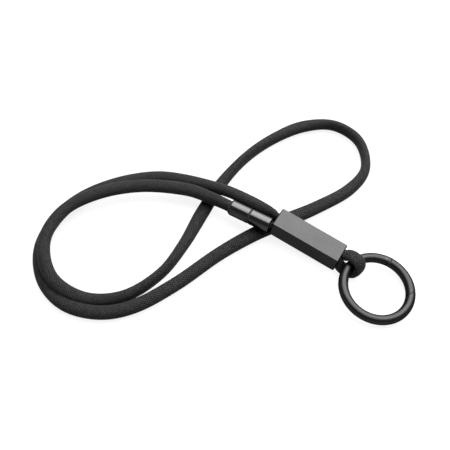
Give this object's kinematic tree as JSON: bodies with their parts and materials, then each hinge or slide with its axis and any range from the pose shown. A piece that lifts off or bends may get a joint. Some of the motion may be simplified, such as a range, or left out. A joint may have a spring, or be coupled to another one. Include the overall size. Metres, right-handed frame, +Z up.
{
  "type": "cord neck lanyard",
  "caption": "Woven-cord neck lanyard with a rectangular sleeve block, a pull-apart barrel coupling and a spring-gate ring, lying flat in a twisted loop.",
  "frame": {"origin": "on the surface that the lanyard lies on, under the middle of the box round the block, fold, socket barrel and ring (the free cord and what is on it are left out of that box)", "axes": "+X runs along the sleeve block in plan from the coupling towards the ring, +Z is up, +Y is to the left of +X"},
  "size_m": [0.1885, 0.1819, 0.0157],
  "materials": {
    "block_anodised": "fine bead-blasted black anodise, satin",
    "barrel_anodised": "turned black anodise, satin",
    "ring_black": "semi-gloss black coating",
    "cord": "fine black braided sheath",
    "trim": "matt black",
    "seam": "matt black",
    "magnet": "nickel plated",
    "pin": "blackened, slightly polished head",
    "steel": "plain"
  },
  "bodies": {
    "block": {"sleeve_block": "block_anodised", "left_end_trim": "trim", "right_end_trim": "trim", "clamp_bar": "steel", "left_clamp_screw": "steel", "right_clamp_screw": "steel", "cord_fold": "cord", "socket_barrel": "barrel_anodised", "socket_ferrule": "trim", "socket_magnet": "magnet"},
    "loop": {"cord_loop": "cord", "plug_barrel": "barrel_anodised", "plug_ferrule": "trim", "plug_magnet": "magnet", "seam_ring": "seam"},
    "ring": {"ring_body": "ring_black", "hinge_pin": "pin", "gate_plunger": "steel", "gate_spring": "steel"},
    "gate": {"ring_gate": "ring_black"}
  },
  "joints": [
    {"name": "coupling_pull", "type": "slide", "parent": "block", "child": "loop", "axis": [-1, 0, 0], "range_m": [0, 0.006]},
    {"name": "ring_swing", "type": "hinge", "parent": "block", "child": "ring", "pos_m": [0.01102, 0.00383, 0.00723], "axis": [-0.2261, -0.9736, 0.0318], "range_deg": [0, 70]},
    {"name": "gate_open", "type": "hinge", "parent": "ring", "child": "gate", "pos_m": [0.02464, 0.01684, 0.00532], "axis": [-0.1392, 0, -0.9903], "range_deg": [0, 25], "stiffness_Nm_per_rad": 0.03, "springref_deg": -20.05}
  ]
}
